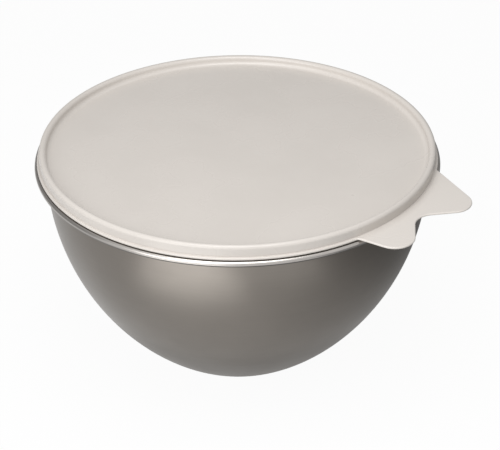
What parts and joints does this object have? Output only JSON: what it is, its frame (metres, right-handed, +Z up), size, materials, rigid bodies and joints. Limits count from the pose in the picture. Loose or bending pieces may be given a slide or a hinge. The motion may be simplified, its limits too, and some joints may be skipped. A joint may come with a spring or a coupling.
{
  "type": "bowl with lid",
  "caption": "Round satin steel bowl with a curved wall, flat base and rolled rim, closed by a drop-in plastic lid that has a sunken panel, a raised ring and an eared pull tab.",
  "frame": {"origin": "centre of the flat base, on the table", "axes": "+Z up along the axis of the bowl, +X from the axis towards the notch of the lid's pull tab, +Y by the right-hand rule"},
  "size_m": [0.2854, 0.26, 0.154],
  "materials": {
    "bowl_steel": "satin",
    "lid_plastic": "semi-matt moulded"
  },
  "bodies": {
    "bowl": {"bowl": "bowl_steel"},
    "lid": {"lid": "lid_plastic"}
  },
  "joints": [
    {"name": "lid_lift", "type": "slide", "parent": "bowl", "child": "lid", "axis": [0, 0, 1], "range_m": [0, 0.12]}
  ]
}
